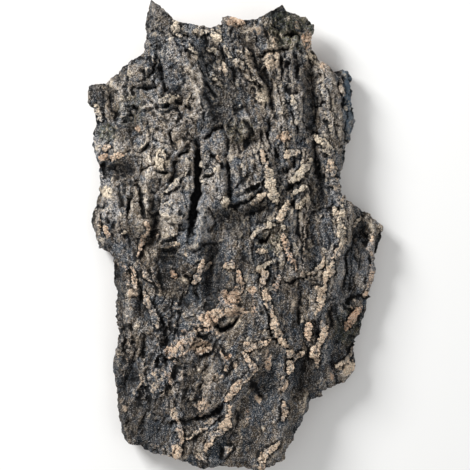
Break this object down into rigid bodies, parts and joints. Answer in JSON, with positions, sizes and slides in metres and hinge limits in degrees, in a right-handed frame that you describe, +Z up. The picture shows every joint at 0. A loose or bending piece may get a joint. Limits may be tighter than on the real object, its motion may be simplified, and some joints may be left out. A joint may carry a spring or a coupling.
{
  "type": "piece of cork bark",
  "caption": "Arched flat of rough virgin cork bark with a torn outline, deep furrows and corky crests, lying on its hollow inner face.",
  "frame": {"origin": "middle of the piece's width and length, on the surface that it rests on", "axes": "+Z up, out of the rough outer face; +Y along the grain, towards the end with the two teeth; +X to the right of the outer face"},
  "size_m": [0.2956, 0.4676, 0.065],
  "materials": {
    "weathered_cork": "matt, deeply cracked, grey brown with tan crests"
  },
  "bodies": {
    "root": {"cork_bark": "weathered_cork"}
  },
  "joints": []
}
